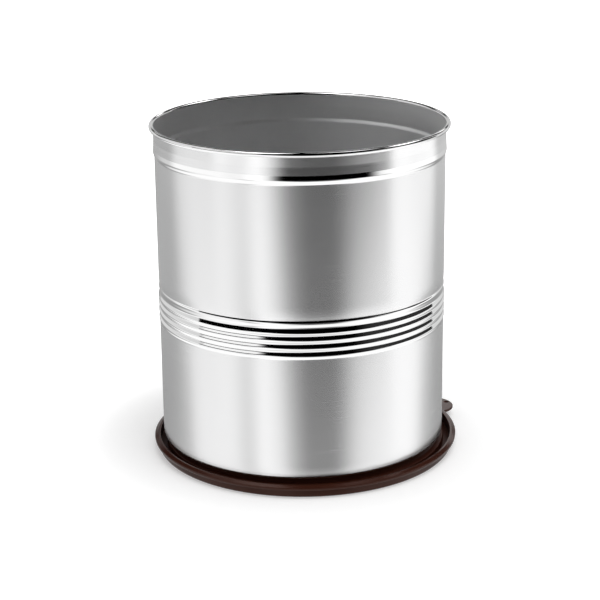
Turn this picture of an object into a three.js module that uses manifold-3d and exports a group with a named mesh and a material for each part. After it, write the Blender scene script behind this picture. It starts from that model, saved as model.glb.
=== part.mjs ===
// A sheet steel storage drum with an open mouth, standing in its upturned plastic lid.
// Millimetres, +Z up. The origin is the centre of the lid on the floor.

import * as THREE from 'three';
import Module from 'manifold-3d';
import { mergeVertices } from 'three/addons/utils/BufferGeometryUtils.js';

const wasm = await Module();
wasm.setup();

// ---- Driving dimensions: drum ----
const drumHeight = 224;
const bodyRadius = 100;
const sheet = 0.5;
const cornerRadius = 4;
const footWidth = 6;

const ribCount = 5;
const ribPitch = 5.4;
const ribDepth = 1.2;
const ribCrestRadius = bodyRadius + 0.9;
const ribBandFromMouth = 125.9;

const ridgeFromMouth = 18.8;
const ridgeHeight = 6.8;
const ridgeCrestRadius = bodyRadius + 1.1;
const neckRadius = bodyRadius + 0.4;

const curlRadius = 2;
const curlTurn = 300;

// ---- Driving dimensions: base pan ----
const panSheet = 0.5;
const panSkirtTop = 11;
const panBeadRadius = 66;
const panBeadRise = 1.2;
const panBeadWidth = 5;

// ---- Driving dimensions: lid ----
const lidWall = 1.6;
const lidHeight = 9.5;
const lidPanelTop = 10;
const lidSkirtWall = 1.2;
const lidCrownRound = 1.2;
const flangeReach = 2.9;
const flangeWidestHeight = 7.3;
const flangeThickness = 1.8;
const flangeRound = 0.6;
const lipRound = 0.4;
const plugHeight = 6.4;
const plugRound = 0.5;
const shoulderWidth = 3.4;
const shoulderRise = 0.3;
const shoulderRun = 3.2;

const tabAngle = 25.6;
const tabRadius = 15.5;
const tabInset = 2.8;
const tabThickness = 1.8;
const tabTop = 8;
const tabHoleRadius = 1.5;
const tabHoleFromTip = 3.2;

// ---- Clearances ----
const seatGap = 0.3;
const wireClearance = 0.3;
const panClearance = 0.3;
const mouthClearance = 0.8;
const rimClearance = 0.3;
const drumShift = -1.6;

// ---- Mesh fineness ----
const turnSteps = 48;
const ribSteps = 4;
const ridgeSteps = 6;
const cornerSteps = 5;
const curlSteps = 10;
const panBeadSteps = 4;
const wireSteps = 10;
const tabSteps = 20;

// ---- Fits worked out from the driving dimensions ----
const midBody = bodyRadius - sheet / 2;
const midNeck = neckRadius - sheet / 2;
const midCurl = curlRadius - sheet / 2;
const curlCentre = new THREE.Vector2(midNeck + midCurl, drumHeight - curlRadius);
const cornerCentre = new THREE.Vector2(bodyRadius - cornerRadius, cornerRadius);
const rimRadius = curlCentre.x + curlRadius;
const wireRadius = curlRadius - sheet - wireClearance;
const plugRadius = neckRadius - sheet - mouthClearance;
const skirtInner = rimRadius + rimClearance;
const skirtOuter = skirtInner + lidSkirtWall;
const flangeRadius = skirtOuter + flangeReach;
const drumSeat = lidPanelTop + seatGap;

// ---- Materials ----
const steel = { color: 0xc9cacc, roughness: 0.28, metalness: 1 };
const wireSteel = { color: 0xb4b6b8, roughness: 0.35, metalness: 1 };
const brownPlastic = { color: 0x3a2420, roughness: 0.35, metalness: 0 };

// ---- Helpers ----

function point(r, z) {
  return new THREE.Vector2(r, z);
}

// Points on an arc about a centre, from one angle to another, in degrees.
function arc(centre, radius, from, to, steps) {
  const points = [];
  for (let i = 0; i <= steps; i += 1) {
    const angle = THREE.MathUtils.degToRad(from + ((to - from) * i) / steps);
    points.push(point(centre.x + radius * Math.cos(angle), centre.y + radius * Math.sin(angle)));
  }
  return points;
}

// A raised cosine bump: zero at both ends and one in the middle.
function bump(share) {
  return 0.5 - 0.5 * Math.cos(2 * Math.PI * share);
}

// A closed outline around a bent sheet, from the line along the middle of its thickness.
function sheetOutline(middle, thickness) {
  const left = [];
  const right = [];
  for (let i = 0; i < middle.length; i += 1) {
    const before = middle[Math.max(i - 1, 0)];
    const after = middle[Math.min(i + 1, middle.length - 1)];
    const into = middle[i].clone().sub(before).normalize();
    const out = after.clone().sub(middle[i]).normalize();
    const along = into.clone().add(out).normalize();
    const mitre = Math.max(along.dot(i > 0 ? into : out), 0.5);
    const side = point(-along.y, along.x).multiplyScalar(thickness / 2 / mitre);
    left.push(middle[i].clone().add(side));
    right.push(middle[i].clone().sub(side));
  }
  return [...left, ...right.reverse()];
}

// Turns a closed outline of radius and height about the Z axis.
function turned(outline) {
  const closed = [...outline];
  if (THREE.ShapeUtils.area(closed) < 0) {
    closed.reverse();
  }
  closed.push(closed[0].clone());
  const geometry = new THREE.LatheGeometry(closed, turnSteps);
  geometry.rotateX(Math.PI / 2);
  return geometry;
}

function toSolid(geometry) {
  const bare = geometry.clone();
  bare.deleteAttribute('normal');
  bare.deleteAttribute('uv');
  const merged = mergeVertices(bare, 1e-4);
  const mesh = new wasm.Mesh({
    numProp: 3,
    vertProperties: new Float32Array(merged.attributes.position.array),
    triVerts: new Uint32Array(merged.index.array),
  });
  return new wasm.Manifold(mesh);
}

function toGeometry(solid) {
  const mesh = solid.getMesh();
  const geometry = new THREE.BufferGeometry();
  geometry.setAttribute('position', new THREE.BufferAttribute(mesh.vertProperties, 3));
  geometry.setIndex(new THREE.BufferAttribute(mesh.triVerts, 1));
  geometry.computeVertexNormals();
  return geometry;
}

function piece(name, geometry, look) {
  const mesh = new THREE.Mesh(geometry, new THREE.MeshStandardMaterial(look));
  mesh.name = name;
  return mesh;
}

// ---- Drum wall: one sheet from the turned-in foot to the curled rim ----

function drumWall() {
  const corner = arc(cornerCentre, cornerRadius - sheet / 2, 270, 360, cornerSteps);
  const middle = [point(cornerCentre.x - footWidth, sheet / 2), ...corner];

  const ribBandCentre = drumHeight - ribBandFromMouth;
  const ribBandStart = ribBandCentre - (ribCount * ribPitch) / 2;
  const ribMiddle = ribCrestRadius - sheet / 2 - ribDepth / 2;
  middle.push(point(midBody, ribBandStart - ribPitch / 4));
  for (let i = 0; i < ribCount * ribSteps; i += 1) {
    const turns = (i + 0.5) / ribSteps;
    const radius = ribMiddle - (ribDepth / 2) * Math.cos(2 * Math.PI * turns);
    middle.push(point(radius, ribBandStart + turns * ribPitch));
  }
  middle.push(point(midBody, ribBandStart + (ribCount + 0.25) * ribPitch));

  const ridgeStart = drumHeight - ridgeFromMouth - ridgeHeight / 2;
  const ridgeRise = ridgeCrestRadius - bodyRadius;
  for (let i = 0; i <= ridgeSteps; i += 1) {
    const share = i / ridgeSteps;
    const wall = THREE.MathUtils.lerp(midBody, midNeck, share);
    const lift = ridgeRise - (wall - midBody);
    middle.push(point(wall + lift * bump(share), ridgeStart + share * ridgeHeight));
  }
  middle.push(...arc(curlCentre, midCurl, 180, 180 - curlTurn, curlSteps));
  return turned(sheetOutline(middle, sheet));
}

// ---- Wire that the rim is curled round ----

function rimWire() {
  const lastAngle = 360 - 360 / wireSteps;
  return turned(arc(curlCentre, wireRadius, 0, lastAngle, wireSteps - 1));
}

// ---- Base pan: a pressed disc inside the drum, resting on the turned-in foot ----

function basePan() {
  const panCorner = cornerRadius - sheet - panClearance - panSheet / 2;
  const panFloor = cornerCentre.y - panCorner;
  const middle = [point(0, panFloor + panBeadRise)];
  for (let i = 0; i <= panBeadSteps; i += 1) {
    const share = i / panBeadSteps;
    const rise = panBeadRise * (0.5 + 0.5 * Math.cos(Math.PI * share));
    middle.push(point(panBeadRadius + share * panBeadWidth, panFloor + rise));
  }
  middle.push(...arc(cornerCentre, panCorner, 270, 360, cornerSteps));
  middle.push(point(cornerCentre.x + panCorner, panSkirtTop));
  const outline = sheetOutline(middle, panSheet);
  outline[0].x = 0;
  outline[outline.length - 1].x = 0;
  return turned(outline);
}

// ---- Lid: one moulding, upturned, with the drum's rim groove open upwards ----

function lidBody() {
  const plugInner = plugRadius - lidWall;
  const shoulderInner = plugRadius - shoulderWidth;
  const panelEdge = shoulderInner - shoulderRun;
  const underEdge = panelEdge - lidWall / 2;
  const underShoulder = plugHeight - lidWall;
  const crown = point(skirtOuter - lidCrownRound, lidCrownRound);
  const flangeFoot = flangeWidestHeight - flangeThickness;
  const outline = [
    point(0, lidPanelTop - lidWall),
    point(underEdge, lidPanelTop - lidWall),
    point(shoulderInner - lidWall / 2, underShoulder),
    point(plugInner, underShoulder - shoulderRise),
    point(plugInner, 0),
    ...arc(crown, lidCrownRound, 270, 360, 3),
    point(skirtOuter, flangeFoot),
    point(flangeRadius - flangeRound, flangeWidestHeight - flangeThickness / 2),
    point(flangeRadius, flangeWidestHeight),
    point(flangeRadius - flangeRound, flangeWidestHeight + flangeThickness / 2),
    point(skirtOuter + lipRound, lidHeight - lipRound),
    point(skirtOuter - lipRound, lidHeight),
    point(skirtInner, lidHeight - lipRound),
    point(skirtInner, lidWall),
    point(plugRadius, lidWall),
    point(plugRadius, plugHeight - plugRound),
    point(plugRadius - plugRound, plugHeight),
    point(shoulderInner, plugHeight + shoulderRise),
    point(panelEdge, lidPanelTop),
    point(0, lidPanelTop),
  ];
  return turned(outline);
}

function lidTab() {
  const centre = flangeRadius - tabInset;
  const holeCentre = centre + tabRadius - tabHoleFromTip;
  const tongue = new THREE.Shape();
  tongue.absarc(centre, 0, tabRadius, 0, 2 * Math.PI, false);
  const hole = new THREE.Path();
  hole.absarc(holeCentre, 0, tabHoleRadius, 0, 2 * Math.PI, true);
  tongue.holes.push(hole);
  const options = { depth: tabThickness, bevelEnabled: false, curveSegments: tabSteps };
  const plate = toSolid(new THREE.ExtrudeGeometry(tongue, options));
  return plate.translate([0, 0, tabTop - tabThickness]);
}

// The tab's root is cut away inside the skirt, so it doesn't reach into the rim groove.
function lid() {
  const insideSkirt = skirtOuter - lidSkirtWall / 2;
  const keepClear = toSolid(turned([
    point(0, 0),
    point(insideSkirt, 0),
    point(insideSkirt, 2 * lidHeight),
    point(0, 2 * lidHeight),
  ]));
  const tab = lidTab().rotate([0, 0, tabAngle]).subtract(keepClear);
  return toGeometry(toSolid(lidBody()).add(tab));
}

// ---- Assembly ----

const drum = new THREE.Group();
drum.position.set(drumShift, 0, drumSeat);
drum.add(piece('drum_wall', drumWall(), steel));
drum.add(piece('rim_wire', rimWire(), wireSteel));
drum.add(piece('base_pan', basePan(), steel));

const group = new THREE.Group();
group.add(piece('lid', lid(), brownPlastic));
group.add(drum);

export default group;
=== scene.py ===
# %% [markdown]
# # A steel storage drum standing on its upturned lid
#
# This lesson builds the looks of a small kitchen storage drum around a fixed frame. The frame gives every
# piece its place and its outer size, so nothing is fitted by eye afterwards. The real drum has four pieces:
# a wall of thin stainless sheet, a wire inside its rolled rim, a pressed base pan, and a moulded plastic lid.
# Lengths are in metres, +Z is up, and heights are counted from the surface that the lid stands on.

# %% Load the frame
import math
import bpy
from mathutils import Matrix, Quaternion, Vector


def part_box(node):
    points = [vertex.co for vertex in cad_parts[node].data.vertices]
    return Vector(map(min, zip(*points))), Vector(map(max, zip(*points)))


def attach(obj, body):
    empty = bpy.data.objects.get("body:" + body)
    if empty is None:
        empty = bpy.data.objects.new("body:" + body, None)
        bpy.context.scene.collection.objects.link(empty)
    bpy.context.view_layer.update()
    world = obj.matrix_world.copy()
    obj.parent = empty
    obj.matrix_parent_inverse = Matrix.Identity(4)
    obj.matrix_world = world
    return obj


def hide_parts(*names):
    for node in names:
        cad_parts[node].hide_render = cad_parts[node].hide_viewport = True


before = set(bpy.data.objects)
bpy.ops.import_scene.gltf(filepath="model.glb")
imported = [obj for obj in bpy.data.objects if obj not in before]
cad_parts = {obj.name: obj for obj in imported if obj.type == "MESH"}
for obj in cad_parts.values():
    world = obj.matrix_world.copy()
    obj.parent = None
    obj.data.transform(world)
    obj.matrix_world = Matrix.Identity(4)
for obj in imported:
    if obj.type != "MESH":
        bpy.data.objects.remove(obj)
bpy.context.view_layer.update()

MM = 0.001
wall_low, wall_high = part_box("drum_wall")
lid_low, lid_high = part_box("lid")
AXIS_X = (wall_low.x + wall_high.x) / 2
FOOT_Z = wall_low.z
MOUTH_Z = wall_high.z
RIM_RADIUS = (wall_high.x - wall_low.x) / 2
print("the drum's axis is at x", round(AXIS_X, 4), "and its mouth at z", round(MOUTH_Z, 4))

# %% [markdown]
# ## Drawing a profile and spinning it
#
# Every piece here was made by turning: the wall and the pan on a spinning lathe, the lid in a turned mould.
# A lathe shape could be made by scaling the rings of a cylinder, or by a Screw modifier. Drawing the profile
# as a chain of points and spinning it once is closer to how the maker's drawing looks, and it keeps every
# height and radius readable. The chain starts as a small plane that is merged to one point, and each new
# point is extruded from the last.

# %% Modelling helpers
SPIN_STEPS = 180
MERGE_DISTANCE = 0.0005 * MM


def start_editing(place):
    """Adds a small plane at a place, with its origin at the world's, and opens it in edit mode."""
    bpy.ops.object.select_all(action="DESELECT")
    bpy.ops.mesh.primitive_plane_add(size=MM, location=place)
    bpy.ops.object.transform_apply(location=True, rotation=True, scale=True)
    bpy.ops.object.mode_set(mode="EDIT")
    bpy.ops.mesh.select_all(action="SELECT")
    return bpy.context.object


def draw_chain(name, points, axis_x):
    """Draws a chain of (radius, height) points as edges, to the right of an upright axis."""
    first = points[0]
    piece = start_editing((axis_x + first[0], 0, first[1]))
    piece.name = name
    bpy.ops.mesh.merge(type="CENTER")
    for before, after in zip(points, points[1:]):
        step = (after[0] - before[0], 0, after[1] - before[1])
        bpy.ops.mesh.extrude_vertices_move(TRANSFORM_OT_translate={"value": step})
    return piece


def spin_chain(axis_x):
    """Spins the open chain once round its upright axis, closes the seam and turns the faces outwards."""
    bpy.ops.mesh.select_all(action="SELECT")
    bpy.ops.mesh.spin(steps=SPIN_STEPS, angle=2 * math.pi, center=(axis_x, 0, 0), axis=(0, 0, 1))
    bpy.ops.mesh.select_all(action="SELECT")
    bpy.ops.mesh.remove_doubles(threshold=MERGE_DISTANCE)
    bpy.ops.mesh.normals_make_consistent(inside=False)
    bpy.ops.object.mode_set(mode="OBJECT")


def apply_modifier(piece, kind, **settings):
    """Adds one modifier to a piece, sets it and applies it."""
    bpy.context.view_layer.objects.active = piece
    modifier = piece.modifiers.new(kind.title(), kind)
    for key, value in settings.items():
        setattr(modifier, key, value)
    bpy.ops.object.modifier_apply(modifier=modifier.name)


def smooth(piece, angle=35):
    """Shades a piece smooth, apart from edges sharper than an angle in degrees."""
    bpy.ops.object.select_all(action="DESELECT")
    piece.select_set(True)
    bpy.context.view_layer.objects.active = piece
    bpy.ops.object.shade_smooth_by_angle(angle=math.radians(angle))


def report(piece):
    """Prints a finished piece's size in millimetres and its number of faces."""
    size = [round(side / MM, 1) for side in piece.dimensions]
    print(piece.name, size, "mm,", len(piece.data.polygons), "faces")


print("each spin has", SPIN_STEPS, "steps")

# %% [markdown]
# A profile needs three kinds of bend: a true arc, an eased swing from one radius to another, and a rounded
# corner. Typing in their points would hide what they are, so each is worked out by a short function.

# %% Profile helpers
def arc(centre, radius, start, end, steps):
    """Points on an arc about (radius, height), from one angle to another in degrees."""
    angles = [math.radians(start + (end - start) * i / steps) for i in range(steps + 1)]
    return [(centre[0] + radius * math.cos(a), centre[1] + radius * math.sin(a)) for a in angles]


def ease(share):
    """Goes from 0 to 1 with level ends, as a pressed step does."""
    return 0.5 - 0.5 * math.cos(math.pi * share)


def rounded(corners, steps=4):
    """Turns a chain of (radius, height, rounding) corners into points, with an arc-like bend at each."""
    points = []
    for i, (r, z, rounding) in enumerate(corners):
        here = Vector((r, z))
        if rounding == 0:
            points.append((r, z))
            continue
        before = (Vector(corners[i - 1][:2]) - here).normalized()
        after = (Vector(corners[(i + 1) % len(corners)][:2]) - here).normalized()
        reach = rounding / math.tan(before.angle(after) / 2)
        for k in range(steps + 1):
            t = k / steps
            bend = before * (1 - t) ** 2 * reach + after * t**2 * reach
            points.append(tuple(here + bend))
    return points


print("an eased step is half way up at", ease(0.5))


# %% [markdown]
# ## The drum wall
#
# The wall is one half-millimetre sheet. From the foot it turns up through a small corner, runs straight to a
# band of five rolled ribs at the waist, goes on to a rolled ridge, narrows into a short neck and curls
# outwards round a wire at the mouth. It could be modelled with both skins drawn by hand, but a sheet is
# easier as the single line along the middle of its thickness, spun once and then given its thickness by a
# Solidify modifier, because both skins then stay parallel round the tight curl.

# %% Sizes of the drum wall
SHEET = 0.5 * MM
CURL_RADIUS = 1.75 * MM
CURL_TURN = 300
CORNER_RADIUS = 2.4 * MM
HEEL_DEPTH = 0.2 * MM
HEEL_HEIGHT = 8 * MM
FOOT_WIDTH = 6 * MM
BODY_RADIUS = RIM_RADIUS - 3.9 * MM
NECK_RADIUS = BODY_RADIUS + 0.4 * MM
RIDGE_CREST = BODY_RADIUS + 0.84 * MM
RIDGE_CENTRE = MOUTH_Z - 18.8 * MM
RIDGE_HEIGHT = 6.8 * MM
RIDGE_FLANK = 3 * MM
NECK_FLARE = 0.2 * MM
NECK_FLARE_HEIGHT = 5.6 * MM
RIB_COUNT = 5
RIB_PITCH = 5.4 * MM
RIB_DEPTH = 0.9 * MM
RIB_CREST = BODY_RADIUS + 0.5 * MM
RIB_BAND_CENTRE = MOUTH_Z - 125.9 * MM

HALF = SHEET / 2
RIB_BAND_LOW = RIB_BAND_CENTRE - RIB_COUNT * RIB_PITCH / 2
RIB_BAND_HIGH = RIB_BAND_CENTRE + RIB_COUNT * RIB_PITCH / 2
RIDGE_LOW = RIDGE_CENTRE - RIDGE_HEIGHT / 2
RIDGE_HIGH = RIDGE_CENTRE + RIDGE_HEIGHT / 2
CORNER_CENTRE = (BODY_RADIUS - HEEL_DEPTH - CORNER_RADIUS, FOOT_Z + CORNER_RADIUS)
CURL_CENTRE = (NECK_RADIUS + CURL_RADIUS - SHEET, MOUTH_Z - CURL_RADIUS)
print("ribs from z", round(RIB_BAND_LOW, 4), "to", round(RIB_BAND_HIGH, 4))

# %% [markdown]
# The middle line is put together from a few kinds of stretch. A straight one has a close pair of points at
# each end. Without them the shading of the next bend would bleed into the flat wall, and a polished wall
# shows that at once. A bevel with hardened normals could do the same, but it would add edges everywhere.

# %% Stretches of the middle line
RIB_POINTS = 16
SWING_POINTS = 10
CORNER_POINTS = 12
CURL_POINTS = 26
STRAIGHT_END = 0.6 * MM
CRISP_END = 0.2 * MM


def straight(start, end, pair=STRAIGHT_END):
    """A straight stretch, with a close pair of points at each end to keep its shading even."""
    start, end = Vector(start), Vector(end)
    inset = (end - start).normalized() * pair
    return [tuple(point) for point in (start, start + inset, end - inset, end)]


def swing(start, end):
    """An S-shaped stretch from one point to another that is upright at both ends."""
    points = []
    for i in range(1, SWING_POINTS + 1):
        share = i / SWING_POINTS
        radius = start[0] + (end[0] - start[0]) * ease(share)
        points.append((radius, start[1] + (end[1] - start[1]) * share))
    return points


def cove(low, high, depth):
    """The foot of a wall, leaning in ever more towards its lower end, up to a depth."""
    points = []
    for i in range(SWING_POINTS):
        share = i / SWING_POINTS
        radius = BODY_RADIUS - HALF - depth * (1 - share) ** 3
        points.append((radius, low + (high - low) * share))
    return points


def upright(radius, low, high):
    """An upright stretch of the outer skin's radius, as the middle line of the sheet."""
    return straight((radius - HALF, low), (radius - HALF, high))


print("a wall's middle line lies", HALF / MM, "mm inside its outer skin")

# %% [markdown]
# The ribs aren't all alike. The lower three are plain waves, and each throws back light from high and low.
# They are shallow, because steeper ones would mirror each other instead of the room. The second from the top
# has a long, flat upper flank, so a single dark or light band fills it. The top one is only a low step off
# the wall, which leans in a little above it where the rollers drew the sheet down. The band could be a wave
# from end to end, but then its top edge would look soft, so the two upper ribs are drawn point by point.

# %% The rib band
WAVE_COUNT = 3
FLAT_FLANK_LOW = 8.4 * MM
FLAT_FLANK_HIGH = 5.6 * MM
FLAT_FLANK_DROP = 0.85 * MM
STEP_CREST = BODY_RADIUS + 0.05 * MM
STEP_LOW = 1.6 * MM
STEP_HIGH = 0.2 * MM
COVE_DEPTH = 0.3 * MM
COVE_HEIGHT = 10 * MM


def rib_line():
    """The rib band's middle line, bottom up: foot, three waves, the flat-flanked rib and the low step."""
    middle = RIB_CREST - HALF - RIB_DEPTH / 2
    foot = (BODY_RADIUS - HALF, RIB_BAND_LOW + STEP_HIGH)
    lowest_crest = (RIB_CREST - HALF, RIB_BAND_LOW + RIB_PITCH / 2)
    points = [foot] + swing(foot, lowest_crest)[:-1]
    for i in range(RIB_POINTS // 2, WAVE_COUNT * RIB_POINTS + 1):
        turns = i / RIB_POINTS
        wave = math.cos(2 * math.pi * turns)
        points.append((middle - wave * RIB_DEPTH / 2, RIB_BAND_LOW + turns * RIB_PITCH))
    crest = (RIB_CREST - HALF, RIB_BAND_HIGH - FLAT_FLANK_LOW)
    valley = (crest[0] - FLAT_FLANK_DROP, RIB_BAND_HIGH - FLAT_FLANK_HIGH)
    step = (STEP_CREST - HALF, RIB_BAND_HIGH - STEP_LOW)
    wall = (BODY_RADIUS - COVE_DEPTH - HALF, RIB_BAND_HIGH - STEP_HIGH)
    points += swing(points[-1], crest)
    points += straight(crest, valley)[1:]
    points += swing(valley, step)
    points += straight(step, wall)[1:]
    return points


print("the rib band's line has", len(rib_line()), "points")

# %% [markdown]
# The whole line runs from the turned-in foot to the end of the curl. The lower wall leans in a little at its
# heel, where the corner was rolled, and the upper wall leans in above the ribs. The ridge is an eased swing
# up to its crest and a straight, crisp flank above it, and the neck flares slightly towards it.

# %% The whole line of the wall
flare_low = (NECK_RADIUS + NECK_FLARE - HALF, RIDGE_CENTRE + RIDGE_FLANK)
flare_high = (NECK_RADIUS - HALF, flare_low[1] + NECK_FLARE_HEIGHT)
ridge_crest = (RIDGE_CREST - HALF, RIDGE_CENTRE)

foot = [(CORNER_CENTRE[0] - FOOT_WIDTH, FOOT_Z + HALF)]
corner = arc(CORNER_CENTRE, CORNER_RADIUS - HALF, 270, 360, CORNER_POINTS)
heel_high = CORNER_CENTRE[1] + HEEL_HEIGHT
heel = cove(CORNER_CENTRE[1] + STRAIGHT_END, heel_high, HEEL_DEPTH)
lower_wall = heel + upright(BODY_RADIUS, heel_high, RIB_BAND_LOW - STRAIGHT_END)
cove_high = RIB_BAND_HIGH + COVE_HEIGHT
upper_wall = cove(RIB_BAND_HIGH, cove_high, COVE_DEPTH) + upright(BODY_RADIUS, cove_high, RIDGE_LOW)
ridge = swing(upper_wall[-1], ridge_crest) + straight(ridge_crest, flare_low, CRISP_END)[1:]
neck_low = flare_high[1] + STRAIGHT_END
neck_high = CURL_CENTRE[1] - STRAIGHT_END
neck = straight(flare_low, flare_high, CRISP_END)[1:] + upright(NECK_RADIUS, neck_low, neck_high)
curl = arc(CURL_CENTRE, CURL_RADIUS - HALF, 180, 180 - CURL_TURN, CURL_POINTS)
wall_line = foot + corner + lower_wall + rib_line() + upper_wall + ridge + neck + curl
print("the wall's line has", len(wall_line), "points")

# %% [markdown]
# Now the line is spun once round, and the sheet gets its thickness, half to each side. Even thickness is on,
# so the skins stay parallel in the tight bends. Only edges sharper than 35 degrees stay sharp: the sheet's
# cut edges at foot and curl.

# %% Spin the wall and give the sheet its thickness
drum_wall = draw_chain("drum_wall_sheet", wall_line, AXIS_X)
spin_chain(AXIS_X)
apply_modifier(drum_wall, "SOLIDIFY", thickness=SHEET, offset=0, use_even_offset=True)
smooth(drum_wall)
report(drum_wall)

# %% [markdown]
# ## The wire in the rim
#
# The rim is curled round a drawn wire, which keeps the mouth round and stiff. The wire is cut to length and
# bent to a ring, so its two ends meet at a butt joint. It is drawn as a small circle of points, spun almost
# once round, and its two ends are closed with a face each.

# %% Bend the wire
WIRE_CLEARANCE = 0.3 * MM
WIRE_RADIUS = CURL_RADIUS - SHEET - WIRE_CLEARANCE
BUTT_GAP = 0.2  # degrees
WIRE_POINTS = 16

wire = draw_chain("rim_wire_ring", arc(CURL_CENTRE, WIRE_RADIUS, 0, 360, WIRE_POINTS)[:-1], AXIS_X)
bpy.ops.mesh.select_all(action="SELECT")
bpy.ops.mesh.edge_face_add()
nearly_round = math.radians(360 - BUTT_GAP)
bpy.ops.mesh.spin(steps=SPIN_STEPS, angle=nearly_round, center=(AXIS_X, 0, 0), axis=(0, 0, 1))
bpy.ops.mesh.select_all(action="SELECT")
bpy.ops.mesh.remove_doubles(threshold=MERGE_DISTANCE)
bpy.ops.mesh.normals_make_consistent(inside=False)
bpy.ops.object.mode_set(mode="OBJECT")
smooth(wire)
report(wire)

# %% [markdown]
# ## The base pan
#
# The drum's bottom is a shallow pan, pressed from the same sheet and pushed down inside the wall until it
# rests on the turned-in foot. A pressed step round its middle stops the thin floor from popping in and out.
# It is drawn and spun like the wall, from the centre of its floor to the top of its skirt.

# %% Press the base pan
PAN_CLEARANCE = 0.3 * MM
PAN_STEP_RADIUS = 66 * MM
PAN_STEP_WIDTH = 5 * MM
PAN_STEP_RISE = 1.2 * MM
PAN_STEP_POINTS = 10
PAN_BEND_POINTS = 10
PAN_SKIRT_TOP = 11 * MM
PAN_SKIRT_MIDDLE = 5 * MM
MIDDLE_RINGS = (0, 20, 40, 60, 65)  # radii in millimetres
EDGE_RINGS = (72, 80, 90)

pan_corner = CORNER_RADIUS - SHEET - PAN_CLEARANCE - HALF
pan_floor = CORNER_CENTRE[1] - pan_corner
pan_middle = [(r * MM, pan_floor + PAN_STEP_RISE) for r in MIDDLE_RINGS]
pan_step = []
for i in range(PAN_STEP_POINTS + 1):
    share = i / PAN_STEP_POINTS
    height = pan_floor + PAN_STEP_RISE * (1 - ease(share))
    pan_step.append((PAN_STEP_RADIUS + share * PAN_STEP_WIDTH, height))
pan_edge = [(r * MM, pan_floor) for r in EDGE_RINGS]
pan_bend = arc(CORNER_CENTRE, pan_corner, 270, 360, PAN_BEND_POINTS)
pan_skirt = [(CORNER_CENTRE[0] + pan_corner, FOOT_Z + z) for z in (PAN_SKIRT_MIDDLE, PAN_SKIRT_TOP)]
base_pan = draw_chain("base_pan_pressing", pan_middle + pan_step + pan_edge + pan_bend + pan_skirt, AXIS_X)
spin_chain(AXIS_X)
apply_modifier(base_pan, "SOLIDIFY", thickness=SHEET, offset=0, use_even_offset=True)
smooth(base_pan)
report(base_pan)

# %% [markdown]
# ## The lid
#
# The lid is one moulding, standing here with its inside upwards. A round panel drops to a shoulder, a plug
# wall fits inside the mouth, and a deep groove between plug and skirt takes the curled rim. The skirt's free
# edge has a flange, which a thumb pushes to open the lid. Its section is a closed outline, so it is drawn
# corner by corner, each corner with its own rounding, because sharp corners never come out of a mould.

# %% Turn the lid's section
LID_WALL = 1.6 * MM
LID_HEIGHT = 8.9 * MM
PANEL_TOP = lid_high.z
RIM_CLEARANCE = 0.3 * MM
SKIRT_WALL = 1.2 * MM
SKIRT_INNER = RIM_RADIUS + RIM_CLEARANCE
SKIRT_OUTER = SKIRT_INNER + SKIRT_WALL
SKIRT_LEAN = 0.2 * MM
SKIRT_BOTTOM_ROUNDING = 1.4 * MM
FLANGE_RADIUS = -lid_low.x
FLANGE_HEIGHT = 6.9 * MM
FLANGE_HALF = 0.9 * MM
MOUTH_CLEARANCE = 0.8 * MM
PLUG_RADIUS = NECK_RADIUS - SHEET - MOUTH_CLEARANCE
PLUG_HEIGHT = 6.4 * MM
SHOULDER_WIDTH = 3.4 * MM
SHOULDER_RUN = 3.2 * MM
SHOULDER_RADIUS = PLUG_RADIUS - SHOULDER_WIDTH
PANEL_RADIUS = SHOULDER_RADIUS - SHOULDER_RUN
FINE = 0.3 * MM
SOFT = 0.6 * MM

lid_section = rounded([
    (0, PANEL_TOP - LID_WALL, 0),
    (PANEL_RADIUS - LID_WALL / 2, PANEL_TOP - LID_WALL, SOFT),
    (SHOULDER_RADIUS - LID_WALL / 2, PLUG_HEIGHT - LID_WALL, SOFT),
    (PLUG_RADIUS - LID_WALL, PLUG_HEIGHT - LID_WALL - FINE, FINE),
    (PLUG_RADIUS - LID_WALL, 0, FINE),
    (SKIRT_OUTER - SKIRT_LEAN, 0, SKIRT_BOTTOM_ROUNDING),
    (SKIRT_OUTER, FLANGE_HEIGHT - 2 * FLANGE_HALF, SOFT),
    (FLANGE_RADIUS - SKIRT_LEAN, FLANGE_HEIGHT - FLANGE_HALF, SOFT),
    (FLANGE_RADIUS, FLANGE_HEIGHT + FLANGE_HALF, SOFT),
    (SKIRT_OUTER + SKIRT_LEAN, LID_HEIGHT, SOFT),
    (SKIRT_INNER, LID_HEIGHT, FINE),
    (SKIRT_INNER, LID_WALL, SOFT),
    (PLUG_RADIUS, LID_WALL, SOFT),
    (PLUG_RADIUS, PLUG_HEIGHT, SOFT),
    (SHOULDER_RADIUS, PLUG_HEIGHT + FINE, SOFT),
    (PANEL_RADIUS, PANEL_TOP, SOFT),
    (0, PANEL_TOP, 0),
])
lid = draw_chain("lid_moulding", lid_section, 0)
spin_chain(0)
report(lid)

# %% [markdown]
# ## The pull tab
#
# A round tab grows out of the flange, with a small hole near its tip for a hook or a string. It starts as a
# disc, gets its hole from a Boolean and its soft edge from a Bevel, and is cut straight where it enters the
# skirt. A second Boolean then joins it to the lid, so that lid and tab are one closed skin, as moulded.

# %% Mould the tab on to the lid
TAB_ANGLE = 25.6
TAB_RADIUS = 15.5 * MM
TAB_CENTRE = FLANGE_RADIUS - 2.8 * MM
TAB_TOP = 7.6 * MM
TAB_THICKNESS = 1.8 * MM
TAB_HOLE_RADIUS = 1.5 * MM
TAB_HOLE_FROM_TIP = 3.2 * MM
TAB_EDGE_ROUNDING = 0.5 * MM
TAB_ROOT_DEPTH = 0.5 * MM

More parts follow.
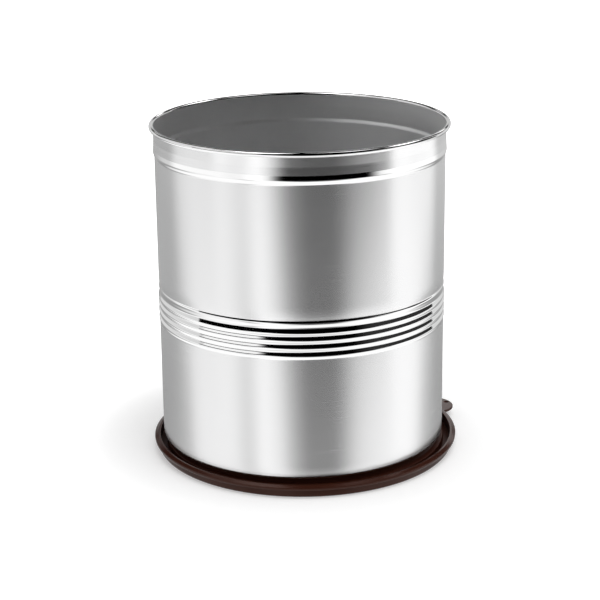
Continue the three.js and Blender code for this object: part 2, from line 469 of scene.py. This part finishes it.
bpy.ops.object.select_all(action="DESELECT")
tab_place = (TAB_CENTRE, 0, TAB_TOP - TAB_THICKNESS / 2)
bpy.ops.mesh.primitive_cylinder_add(vertices=96, radius=TAB_RADIUS, depth=TAB_THICKNESS, location=tab_place)
bpy.ops.object.transform_apply(location=True)
tab = bpy.context.object
hole_place = (TAB_CENTRE + TAB_RADIUS - TAB_HOLE_FROM_TIP, 0, tab_place[2])
long = 4 * TAB_THICKNESS
bpy.ops.mesh.primitive_cylinder_add(vertices=32, radius=TAB_HOLE_RADIUS, depth=long, location=hole_place)
drill = bpy.context.object
apply_modifier(tab, "BOOLEAN", operation="DIFFERENCE", object=drill, solver="EXACT")
sharp = math.radians(40)
apply_modifier(tab, "BEVEL", width=TAB_EDGE_ROUNDING, segments=4, limit_method="ANGLE", angle_limit=sharp)
bpy.data.objects.remove(drill)
bpy.ops.object.select_all(action="DESELECT")
tab.select_set(True)
bpy.context.view_layer.objects.active = tab
bpy.ops.object.mode_set(mode="EDIT")
bpy.ops.mesh.select_all(action="SELECT")
root = (SKIRT_INNER + TAB_ROOT_DEPTH, 0, 0)
bpy.ops.mesh.bisect(plane_co=root, plane_no=(1, 0, 0), use_fill=True, clear_inner=True)
bpy.ops.object.mode_set(mode="OBJECT")
tab.rotation_euler.z = math.radians(TAB_ANGLE)
bpy.ops.object.transform_apply(rotation=True)
apply_modifier(lid, "BOOLEAN", operation="UNION", object=tab, solver="EXACT")
bpy.data.objects.remove(tab)
smooth(lid)
apply_modifier(lid, "WEIGHTED_NORMAL", keep_sharp=True)
report(lid)

# %% [markdown]
# ## Materials as expressions
#
# Node trees are long to write out. The small class below wraps one output of a node, and arithmetic on it
# adds Math nodes, so a mask such as `1 - band` reads as a formula. Every other node comes from one method,
# which takes the node's type, its settings and the values or links of its sockets.

# %% A socket that does arithmetic
class Signal:
    """One output of a shader node. Arithmetic on it adds Math nodes to the same tree."""

    def __init__(self, finish, socket):
        self.finish = finish
        self.socket = socket

    def math(self, operation, *values):
        return self.finish.node("ShaderNodeMath", {"operation": operation}, dict(enumerate(values)))

    def __add__(self, other):
        return self.math("ADD", self, other)

    def __sub__(self, other):
        return self.math("SUBTRACT", self, other)

    def __rsub__(self, other):
        return self.math("SUBTRACT", other, self)

    def __mul__(self, other):
        return self.math("MULTIPLY", self, other)

    __radd__ = __add__
    __rmul__ = __mul__


print("a signal adds, subtracts and multiplies")

# %% [markdown]
# A finish is a node tree with a few recipes. Patterns read the piece's own coordinates, so they move with it,
# and a Mapping node stretches them: large numbers along an axis make fine detail along it.

# %% A finish that adds nodes
class Finish:
    """An empty node tree of a material or a world, with one method that adds a node."""

    def __init__(self, owner):
        self.owner = owner
        owner.use_nodes = True
        self.tree = owner.node_tree
        self.tree.nodes.clear()

    def node(self, kind, settings=None, values=None, output=0):
        """Adds a node: its settings first, then its sockets' values or links. Returns one output."""
        made = self.tree.nodes.new(kind)
        for key, value in (settings or {}).items():
            setattr(made, key, value)
        for key, value in (values or {}).items():
            if isinstance(value, Signal):
                self.tree.links.new(value.socket, made.inputs[key])
            else:
                made.inputs[key].default_value = value
        return Signal(self, made.outputs[output]) if len(made.outputs) else None

    def place(self, offset=(0, 0, 0), scale=(1, 1, 1)):
        """The piece's own coordinates, moved and stretched by a Mapping node."""
        where = self.node("ShaderNodeTexCoord", output="Object")
        return self.node("ShaderNodeMapping", values={"Vector": where, "Location": offset, "Scale": scale})

    def noise(self, scale, detail=2, offset=(0, 0, 0)):
        """Noise on the piece's own coordinates, with its own scale along each axis, in waves per metre."""
        values = {"Vector": self.place(offset, scale), "Scale": 1, "Detail": detail}
        return self.node("ShaderNodeTexNoise", values=values)

    def blend(self, factor, first, second):
        """Mixes two colours by a factor."""
        values = {"Factor": factor, 6: first, 7: second}
        return self.node("ShaderNodeMix", {"data_type": "RGBA"}, values, output=2)

    def step(self, value, low, high):
        """Goes smoothly from 0 at low to 1 at high."""
        values = {"Value": value, "From Min": low, "From Max": high}
        return self.node("ShaderNodeMapRange", {"interpolation_type": "SMOOTHSTEP"}, values)

    def bump(self, height, depth):
        """A bump from a height signal between 0 and 1 that stands for a real depth in metres."""
        values = {"Height": height, "Distance": depth, "Strength": 1}
        return self.node("ShaderNodeBump", values=values, output="Normal")

    def principled(self, **values):
        """The surface shader, joined to the material's output."""
        named = {key.replace("_", " "): value for key, value in values.items()}
        surface = self.node("ShaderNodeBsdfPrincipled", values=named)
        self.node("ShaderNodeOutputMaterial", values={"Surface": surface})
        return self.owner


def new_finish(name):
    """A finish for a new material."""
    return Finish(bpy.data.materials.new(name))


print("recipes of a finish:", [name for name in vars(Finish) if not name.startswith("_")])

# %% [markdown]
# ## Stainless steel, six ways
#
# All of the drum is one steel, but each part of it was finished another way, so there are six short recipes.
# One steel with a painted roughness map would do for the wall alone, but recipes are easier to change one at
# a time. Each blends two greys that are nearly the same, because bare steel has hardly any colour of its own.
#
# The wall is brushed round and round. Its fine scratches run level, and light smears up and down across them.
# Noise that is long round the drum and very short in height gives the scratches, and the shader's own
# anisotropy gives the smear that is finer than any scratch drawn.

# %% Brushed steel
STEEL = (0.9, 0.9, 0.9, 1)
STEEL_DULL = (0.86, 0.86, 0.865, 1)


def brushed_steel():
    """Steel brushed round the wall."""
    made = new_finish("brushed_steel")
    scratches = made.noise((18, 18, 5200), detail=3)
    patches = made.noise((14, 14, 9), detail=2)
    return made.principled(
        Base_Color=made.blend(scratches, STEEL_DULL, STEEL),
        Metallic=1,
        Roughness=0.19 + 0.08 * scratches + 0.04 * patches,
        Anisotropic=0.55,
        Anisotropic_Rotation=0.25,
        Normal=made.bump(scratches, 0.0025 * MM),
    )


print("brushed steel, from", STEEL_DULL[:3], "to", STEEL[:3])

# %% [markdown]
# Ribs, ridge and rim were burnished by the rollers that formed them, so they are nearly mirrors. A slow,
# shallow ripple keeps their reflections from looking drawn with a ruler.

# %% Polished steel
STEEL_BRIGHT = (0.92, 0.92, 0.92, 1)


def polished_steel():
    """Steel burnished by the forming rollers, nearly a mirror."""
    made = new_finish("polished_steel")
    lines = made.noise((9, 9, 600), detail=1)
    ripple = made.noise((45, 45, 12), detail=1)
    return made.principled(
        Base_Color=made.blend(lines, STEEL_BRIGHT, STEEL),
        Metallic=1,
        Roughness=0.05 + 0.02 * lines,
        Normal=made.bump(ripple, 0.02 * MM),
    )


print("polished steel, up to", STEEL_BRIGHT[:3])

# %% [markdown]
# The inside was never brushed. It is satin, as the sheet came from the mill, with a fine grain and soft
# cloudy patches. Above the ridge the neck keeps coarser lathe lines, between brushed and polished.

# %% Satin and turned steel
def satin_steel():
    """The drum's inside, left as the sheet came from the mill: satin, with soft cloudy patches."""
    made = new_finish("satin_steel")
    grain = made.noise((900, 900, 300), detail=3)
    patches = made.noise((16, 16, 11), detail=3)
    return made.principled(
        Base_Color=made.blend(patches, STEEL_DULL, STEEL),
        Metallic=1,
        Roughness=0.5 + 0.06 * grain + 0.06 * patches,
        Normal=made.bump(grain, 0.003 * MM),
    )


def turned_steel():
    """The neck's finish: smooth, with coarser lathe lines round it."""
    made = new_finish("turned_steel")
    lines = made.noise((6, 6, 1900), detail=3)
    return made.principled(
        Base_Color=made.blend(lines, STEEL_DULL, STEEL),
        Metallic=1,
        Roughness=0.12 + 0.1 * lines,
        Anisotropic=0.5,
        Anisotropic_Rotation=0.25,
        Normal=made.bump(lines, 0.006 * MM),
    )


print("satin inside, turned neck")

# %% [markdown]
# The pan was faced on a lathe, so its lines are rings round its centre: noise of one dimension, read along
# the radius. The wire was drawn through a die, and it is duller, because nobody polishes what a curl hides.

# %% Pan and wire steel
WIRE_GREY = (0.5, 0.5, 0.51, 1)


def pan_steel():
    """The base pan's finish: fine rings left by facing it on a lathe."""
    made = new_finish("pan_steel")
    where = made.place((-AXIS_X, 0, 0))
    radius = made.node("ShaderNodeVectorMath", {"operation": "LENGTH"}, {0: where}, output="Value")
    values = {"W": radius, "Scale": 2600, "Detail": 3}
    rings = made.node("ShaderNodeTexNoise", {"noise_dimensions": "1D"}, values)
    return made.principled(
        Base_Color=made.blend(rings, STEEL_DULL, STEEL),
        Metallic=1,
        Roughness=0.4 + 0.12 * rings,
        Normal=made.bump(rings, 0.004 * MM),
    )


def wire_steel():
    """Drawn wire, with die lines along it."""
    made = new_finish("wire_steel")
    lines = made.noise((30, 30, 4000), detail=2)
    return made.principled(
        Base_Color=made.blend(lines, WIRE_GREY, STEEL_DULL),
        Metallic=1,
        Roughness=0.3 + 0.1 * lines,
        Normal=made.bump(lines, 0.004 * MM),
    )


print("pan with rings, wire of grey", WIRE_GREY[:3])

# %% [markdown]
# ## Brown plastic
#
# The lid is a glossy dark brown plastic. Its colour is almost black-brown where it faces the eye and looks
# paler towards its edges, which is only the surface gloss showing more at a slant, so it is left to the
# shader. A faint cloudiness and a fine grain from the mould keep it from looking like paint. The groove that
# takes the rim is duller, as a mould is rarely polished in so narrow a place.

# %% Plastic finish
BROWN_DARK = (0.034, 0.009, 0.005, 1)
BROWN_PALE = (0.044, 0.013, 0.0075, 1)
GLOSS_TINT = (1, 0.72, 0.64, 1)


def brown_plastic(name="brown_plastic", roughness=0.14, gloss=0.27):
    """Dark brown plastic with a faint mould grain."""
    made = new_finish(name)
    cloud = made.noise((40, 40, 40), detail=3)
    grain = made.noise((2400, 2400, 2400), detail=2)
    return made.principled(
        Base_Color=made.blend(cloud, BROWN_DARK, BROWN_PALE),
        Roughness=roughness + 0.07 * grain,
        Specular_IOR_Level=gloss,
        Specular_Tint=GLOSS_TINT,
        Normal=made.bump(grain, 0.004 * MM),
    )


print("brown plastic, from", BROWN_DARK[:3], "to", BROWN_PALE[:3])

# %% [markdown]
# ## Which finish goes where
#
# On the wall, finish follows height and side: what faces the drum's axis below the rim is satin, and outside
# the ribs, the ridge and the rim are burnished. Painting the borders by hand would do too, but a rule by
# place stays right when a size changes. Each face simply takes one of the wall's four materials.

# %% Give each piece its finish
GROOVE_MARGIN = 0.2 * MM
BRUSHED, POLISHED, TURNED, SATIN = range(4)


def paint_wall(piece):
    """Brushed body, burnished ribs, ridge and rim, a turned neck and a satin inside, chosen by place."""
    for finish in (brushed_steel(), polished_steel(), turned_steel(), satin_steel()):
        piece.data.materials.append(finish)
    rim_low = CURL_CENTRE[1] - CURL_RADIUS
    for face in piece.data.polygons:
        z = face.center.z
        outward = face.center - Vector((AXIS_X, 0, z))
        if face.normal.dot(outward) < 0 and z < CURL_CENTRE[1]:
            face.material_index = SATIN
        elif RIB_BAND_LOW < z < RIB_BAND_HIGH or RIDGE_LOW < z < RIDGE_HIGH or z > rim_low:
            face.material_index = POLISHED
        elif z > RIDGE_HIGH:
            face.material_index = TURNED
        else:
            face.material_index = BRUSHED


def paint_lid(piece):
    """Glossy outside, and the mould's duller texture in the groove that takes the rim."""
    piece.data.materials.clear()
    piece.data.materials.append(brown_plastic())
    piece.data.materials.append(brown_plastic("groove_plastic", 0.35, 0.12))
    for face in piece.data.polygons:
        radius = math.hypot(face.center.x, face.center.y)
        if radius < SKIRT_INNER + GROOVE_MARGIN and 0 < face.center.z < LID_HEIGHT - GROOVE_MARGIN:
            face.material_index = 1


paint_wall(drum_wall)
wire.data.materials.append(wire_steel())
base_pan.data.materials.append(pan_steel())
paint_lid(lid)
print("finishes:", [m.name for m in bpy.data.materials])

# %% [markdown]
# ## Tying the pieces to the frame
#
# Each finished piece stands for one solid of the frame, which it hides, and rides on that solid's body. The
# drum's three pieces lift off together, and the lid stays on the floor.

# %% Ride and replace
for piece, body, node, slot in (
    (drum_wall, "drum", "drum_wall", "steel_sheet"),
    (wire, "drum", "rim_wire", "steel_wire"),
    (base_pan, "drum", "base_pan", "steel_pan"),
    (lid, "lid", "lid", "brown_plastic"),
):
    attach(piece, body)
    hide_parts(node)
    print(piece.name, "rides on", body)

# %% [markdown]
# ## The floor
#
# The floor is plain white card. Where nothing shades it, it should be exactly as white as the background, and
# the soft shadow round the lid should stay. So the card is lit like anything else, and a little light of its
# own is added only where the camera looks at it, which lifts the open floor to white and throws no light on
# the drum.

# %% Floor
FLOOR_SIZE = 6
FLOOR_LIFT = 0.32
NEAR_FLOOR = 0.115
FAR_FLOOR = 0.26

bpy.ops.object.select_all(action="DESELECT")
bpy.ops.mesh.primitive_plane_add(size=FLOOR_SIZE, location=(0, 0, -0.1 * MM))
floor = bpy.context.object
floor.name = "floor"
floor.visible_glossy = False
card = new_finish("white_card")
ray = card.node("ShaderNodeLightPath", output="Is Camera Ray")
paper = card.node("ShaderNodeBsdfDiffuse", values={"Color": (0.8, 0.8, 0.8, 1)})
where = card.node("ShaderNodeTexCoord", output="Object")
distance = card.node("ShaderNodeVectorMath", {"operation": "LENGTH"}, {0: where}, output="Value")
lift = FLOOR_LIFT + (1 - FLOOR_LIFT) * card.step(distance, NEAR_FLOOR, FAR_FLOOR)
glow = card.node("ShaderNodeEmission", values={"Color": (1, 1, 1, 1), "Strength": ray * lift})
both = card.node("ShaderNodeAddShader", values={0: paper, 1: glow})
card.node("ShaderNodeOutputMaterial", values={"Surface": both})
floor.data.materials.append(card.owner)
print("floor", FLOOR_SIZE, "m across")

# %% [markdown]
# ## The studio around it
#
# Polished metal has no look of its own: it shows the room. A metal object stands between white walls, with
# black panels that draw dark lines along its edges. The world below is such a room, and only reflections see
# it. A real room of cards and lamps could be modelled, but masks over directions are quicker to move. A
# direction is an azimuth, 0 towards the camera's side and positive to the right, and an elevation above the
# level, both in degrees. What stands in the room is named with its span of either, left to right or bottom
# to top, and an edge is named with the span that it fades over.

# %% Directions in the room
world = bpy.data.worlds.new("studio")
bpy.context.scene.world = world
studio = Finish(world)
direction = studio.node("ShaderNodeTexCoord", output="Generated")
x, y, z = [studio.node("ShaderNodeSeparateXYZ", values={0: direction}, output=i) for i in range(3)]
to_degrees = 180 / math.pi
azimuth = studio.node("ShaderNodeMath", {"operation": "ARCTAN2"}, {0: x, 1: y * -1}) * to_degrees
elevation = studio.node("ShaderNodeMath", {"operation": "ARCSINE"}, {0: z}) * to_degrees


def between(value, low, high, soft):
    """1 where a signal lies between two limits, falling to 0 outside them over a soft edge."""
    return studio.step(value, low - soft, low + soft) * (1 - studio.step(value, high - soft, high + soft))


def cover(room, mask, level):
    """The room with something of its own brightness in front of it, where a mask is 1."""
    return room * (1 - mask) + level * mask


print("direction nodes:", len(studio.tree.nodes))

# %% [markdown]
# Below the level are white walls. They look narrower the lower they are, as the floor in front of them takes
# over. A dark stand straight ahead draws the wide grey shade down the middle of the drum, and a gap between
# two wall cards draws the fainter one on its left. Past the ends of the walls are dimmer wings. Low down
# everything stands a little differently, so a soft share mixes the upper and the lower set of numbers.

# %% Walls below the level
LOWER_SET_EDGE = (-18.9, -16.1)
WALLS = (-110, 123.5)
WALL_LEVEL = 1.07
LEFT_CARD = (-38, -14)
RIGHT_CARD_EDGE = (40, 62)
GAP = (-56, -42)
STAND_LEFT_EDGE = (-33, -3)
STAND_RIGHT_EDGE = (25, 73)
STAND_LEFT_MOVE = 11
WING_LEVEL = 0.33
WING_UPPER_EDGE = (-22, -6)
WING_FOOT_EDGE = (-28, -23)

narrowing = {"Value": elevation, "From Min": -40, "From Max": -14, "To Min": 1.38, "To Max": 0.95}
spread = azimuth * studio.node("ShaderNodeMapRange", values=narrowing)
low_share = 1 - studio.step(elevation, *LOWER_SET_EDGE)
left_card = 0.15 * between(spread, *LEFT_CARD, 6)
right_card = (0.1 + 0.06 * low_share) * studio.step(spread, *RIGHT_CARD_EDGE)
white_walls = WALL_LEVEL - 0.09 * low_share + left_card + right_card
grey_gap = between(spread, *GAP, 6) * (0.06 + 0.36 * low_share)
left_low, left_high = [edge + STAND_LEFT_MOVE * low_share for edge in STAND_LEFT_EDGE]
stand_left = studio.step(spread, left_low, left_high)
stand_right = 1 - studio.step(spread, STAND_RIGHT_EDGE[0] + low_share, STAND_RIGHT_EDGE[1] - 22 * low_share)
dark_stand = stand_left * stand_right * (1 - 0.1 * low_share)
wings = WING_LEVEL + 0.4 * studio.step(elevation, *WING_UPPER_EDGE)
wings = wings + 0.45 * (1 - studio.step(elevation, *WING_FOOT_EDGE))
facing = between(spread, WALLS[0] + 3 * low_share, WALLS[1] - 5 * low_share, 7)
low_room = facing * (white_walls - grey_gap) * (1 - dark_stand) + (1 - facing) * wings
print("walls from", WALLS[0], "to", WALLS[1], "degrees")

# %% [markdown]
# Just under the level stand two cards, which the flaring neck and the ridge see and the upright wall doesn't:
# a wide dark one ahead, black at its top, and a grey one on the left. Lower still the floor sweeps in, a
# little darker straight below.

# %% Cards under the level, and the floor
CARD_BOTTOM_EDGE = (-15.6, -14)
CARD_TOP_EDGE = (-9, -7)
DARK_CARD = (-9, 74)
DARK_CARD_LEVEL = 0.2
DARK_CARD_FADE = (-13, -7)
GREY_CARD = (-180, -70)
GREY_CARD_HEIGHT = (-14.8, -10)
GREY_CARD_SHADE = 0.3
FLOOR_EDGE = (-34, -26)
FLOOR_BELOW = 0.75
FLOOR_AHEAD = 1.1
FLOOR_BELOW_EDGE = (-72, -62)

card_top = studio.step(elevation, *CARD_TOP_EDGE)
dark_card = between(azimuth, DARK_CARD[0] - 10 * card_top, DARK_CARD[1] - 16 * card_top, 7)
dark_card = dark_card * studio.step(elevation, *CARD_BOTTOM_EDGE)
dark_level = DARK_CARD_LEVEL * (1 - studio.step(elevation, *DARK_CARD_FADE))
grey_card = between(azimuth, *GREY_CARD, 6) * between(elevation, *GREY_CARD_HEIGHT, 1)
low_room = cover(low_room, dark_card, dark_level)
low_room = low_room * (1 - GREY_CARD_SHADE * grey_card)
floor_sweep = 1 - studio.step(elevation, *FLOOR_EDGE)
floor_level = FLOOR_BELOW + (FLOOR_AHEAD - FLOOR_BELOW) * studio.step(elevation, *FLOOR_BELOW_EDGE)
low_room = cover(low_room, floor_sweep, floor_level)
print("dark card from", DARK_CARD[0], "to", DARK_CARD[1], "degrees")

# %% [markdown]
# Above the level hangs a black panel, which blackens the upper flanks of the ribs. A softbox in front of its
# left part, slanting up to the right, leaves only thin double lines of them on the left. A small lamp stands
# high on the right. The ceiling is bright in front, apart from a black strip, and lights the drum's inside.
# Behind the drum are a low wall and a window, and the corners beside them are dark, so that the rim keeps a
# dark outline at the back.

# %% The room above the level
BLACK_PANEL = (-87, 124)
PANEL_GREY = 0.03
PANEL_GREY_EDGE = (40, 60)
SOFTBOX = (-88, -34)
SOFTBOX_HEIGHT = (17.5, 48)
SOFTBOX_SLANT = (0.12, 0.17)
LAMP_GLOW = (95, 135)
LAMP_GLOW_HEIGHT = (37, 52)
LAMP_GLOW_LEVEL = 2.5
CEILING_EDGE = (55, 60)
CEILING = (-108, 108)
CEILING_LEFT = 2.6
CEILING_RIGHT_DROP = 1.2
CEILING_DROP_EDGE = (0, 55)
OVERHEAD_STRIP = (-30, 55)
REAR = (-152, 152)
REAR_CORNERS = (-134, 132)
REAR_RIGHT_EDGE = (150, 156)
WINDOW_HEIGHT = (18, 25)
BACK_WALL_EDGE = (12, 15)
BACK_WALL_LEVEL = 0.6

black_panel = between(azimuth, *BLACK_PANEL, 1)
past_right = azimuth - SOFTBOX[1]
softbox_low, softbox_top = [h + past_right * slant for h, slant in zip(SOFTBOX_HEIGHT, SOFTBOX_SLANT)]
softbox = studio.step(elevation - softbox_low, -1, 1) * (1 - studio.step(elevation - softbox_top, -1, 1))
softbox = softbox * between(azimuth, *SOFTBOX, 5)
lamp_glow = between(azimuth, *LAMP_GLOW, 4) * between(elevation, *LAMP_GLOW_HEIGHT, 2)
behind = 1 - between(azimuth, *REAR, 4)
window_level = 0.5 + 0.9 * studio.step(azimuth, *REAR_RIGHT_EDGE)
window = behind * between(elevation, *WINDOW_HEIGHT, 1) * window_level
back_wall = behind * (1 - studio.step(elevation, *BACK_WALL_EDGE)) * BACK_WALL_LEVEL
back_corners = (1 - between(azimuth, *REAR_CORNERS, 2)) * studio.step(elevation, 13, 16)
high_room = (1 - black_panel) * wings * (1 - behind) * (1 - 0.95 * back_corners) + window + back_wall
high_room = high_room + black_panel * (softbox + PANEL_GREY * studio.step(azimuth, *PANEL_GREY_EDGE))

ceiling = studio.step(elevation, *CEILING_EDGE)
ceiling_level = CEILING_LEFT - CEILING_RIGHT_DROP * studio.step(azimuth, *CEILING_DROP_EDGE)
ceiling_level = ceiling_level * between(azimuth, *CEILING, 8) * (1 - between(azimuth, *OVERHEAD_STRIP, 5))
high_room = cover(high_room, ceiling, ceiling_level * (1 - behind)) + LAMP_GLOW_LEVEL * lamp_glow
print("black panel from", BLACK_PANEL[0], "to", BLACK_PANEL[1], "degrees")

# %% [markdown]
# The halves of the room meet just under the level, a little lower on the far right, which widens the dark
# bands there. The camera and anything clear see plain white, reflections see the room, and everything else
# is lit by one even level.

# %% Put the room together
DIFFUSE_LEVEL = 0.62
MEETING_EDGE = (-4, -1.5)
FAR_RIGHT_EDGE = (86, 98)
FAR_RIGHT_DROP = 3.5

far_right = studio.step(azimuth, *FAR_RIGHT_EDGE)
above = studio.step(elevation + FAR_RIGHT_DROP * far_right, *MEETING_EDGE)
room = cover(low_room, above, high_room)

camera_ray, glossy_ray, clear_ray = [
    studio.node("ShaderNodeLightPath", output="Is " + name + " Ray")
    for name in ("Camera", "Glossy", "Transmission")
]
plain = camera_ray + clear_ray
level = plain + glossy_ray * room + (1 - plain - glossy_ray) * DIFFUSE_LEVEL
background = studio.node("ShaderNodeBackground", values={"Color": (1, 1, 1, 1), "Strength": level})
studio.node("ShaderNodeOutputWorld", values={"Surface": background})
world.cycles.sampling_method = "NONE"
print("world nodes:", len(studio.tree.nodes))

# %% [markdown]
# One wide lamp hangs overhead, a little to the front and right, and throws the soft shadow on the floor. The
# metal doesn't see it, because the room above already holds every light that should show in the steel.

# %% Lamp
LAMP_POWER = 14
LAMP_WIDTH = 1.6
LAMP_PLACE = Vector((0.5, -0.5, 1.8))

bpy.ops.object.light_add(type="AREA", location=LAMP_PLACE)
lamp = bpy.context.object
lamp.name = "overhead_softbox"
lamp.data.shape = "DISK"
lamp.data.size = LAMP_WIDTH
lamp.data.energy = LAMP_POWER
lamp.rotation_euler = (-LAMP_PLACE).to_track_quat("-Z", "Y").to_euler()
lamp.visible_glossy = False
print("lamp", LAMP_POWER, "W")

# %% [markdown]
# ## The camera
#
# A long lens from a little over a metre keeps the drum's sides nearly parallel. The camera looks down by
# 17.5 degrees at a point on the drum's axis, and leans over by a little more than half a degree.

# %% Camera
CAMERA_DISTANCE = 1.2299
CAMERA_ELEVATION = math.radians(17.5)
CAMERA_LEAN = math.radians(-0.631)
AIM_HEIGHT = 0.105
LENS = 104.42
SENSOR_WIDTH = 36
SIDE_SHIFT = -0.0026

aim = Vector((AXIS_X, 0, AIM_HEIGHT))
back = Vector((0, -math.cos(CAMERA_ELEVATION), math.sin(CAMERA_ELEVATION)))
camera_data = bpy.data.cameras.new("camera")
camera = bpy.data.objects.new("camera", camera_data)
bpy.context.scene.collection.objects.link(camera)
camera.location = aim + back * CAMERA_DISTANCE
camera.rotation_mode = "QUATERNION"
camera.rotation_quaternion = (-back).to_track_quat("-Z", "Y") @ Quaternion((0, 0, 1), CAMERA_LEAN)
camera_data.lens = LENS
camera_data.sensor_width = SENSOR_WIDTH
camera_data.shift_x = SIDE_SHIFT
bpy.context.scene.camera = camera
bpy.context.scene.view_settings.view_transform = "Standard"
print("camera at", [round(v, 3) for v in camera.location])

# %% [markdown]
